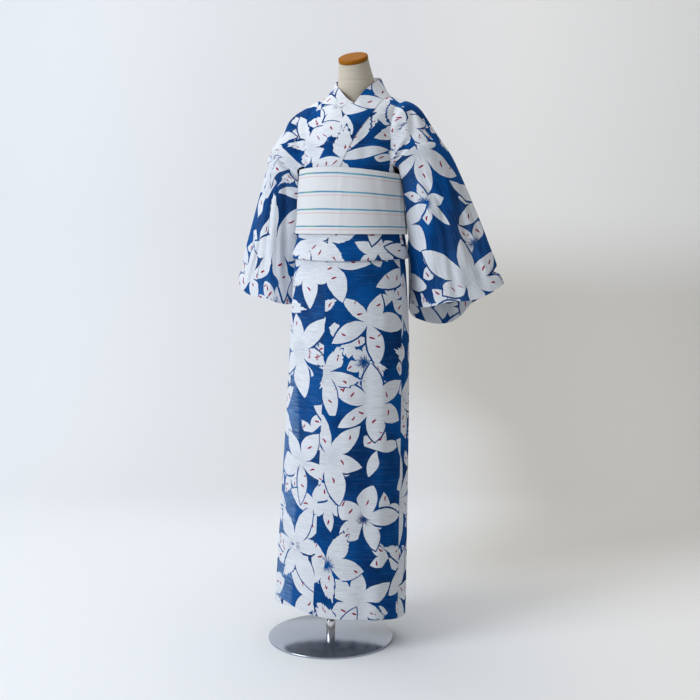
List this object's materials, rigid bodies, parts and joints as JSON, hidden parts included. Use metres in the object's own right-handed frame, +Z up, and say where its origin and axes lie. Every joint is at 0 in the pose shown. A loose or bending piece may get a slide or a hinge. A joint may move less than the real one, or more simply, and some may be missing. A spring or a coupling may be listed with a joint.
{
  "type": "cotton yukata robe on a dress form stand",
  "caption": "Unlined cotton robe with open hanging sleeves on a limbless dress form with a round base, wrapped left over right, with a tuck under a wide belt tied behind",
  "frame": {"origin": "the middle of the base plate's flat underside, where the part stands on the floor", "axes": "+Z up, the garment's front faces -Y, +X toward the wearer's left"},
  "size_m": [0.7165, 0.3702, 1.4837],
  "materials": {
    "printed_cotton": "matte slubbed cotton, printed",
    "obi_cotton": "matte woven cotton with stripes",
    "form_linen": "matte woven cover",
    "cap_wood": "satin varnish",
    "base_steel": "polished",
    "pole_chrome": "polished"
  },
  "bodies": {
    "root": {"base_plate": "base_steel", "pole_socket": "pole_chrome", "pole": "pole_chrome", "form_torso": "form_linen", "neck_cap": "cap_wood", "body_left": "printed_cotton", "body_right": "printed_cotton", "okumi_left": "printed_cotton", "okumi_right": "printed_cotton", "collar": "printed_cotton", "sleeve_left": "printed_cotton", "sleeve_right": "printed_cotton", "obi": "obi_cotton", "obi_bow": "obi_cotton", "obi_knot": "obi_cotton"}
  },
  "joints": []
}
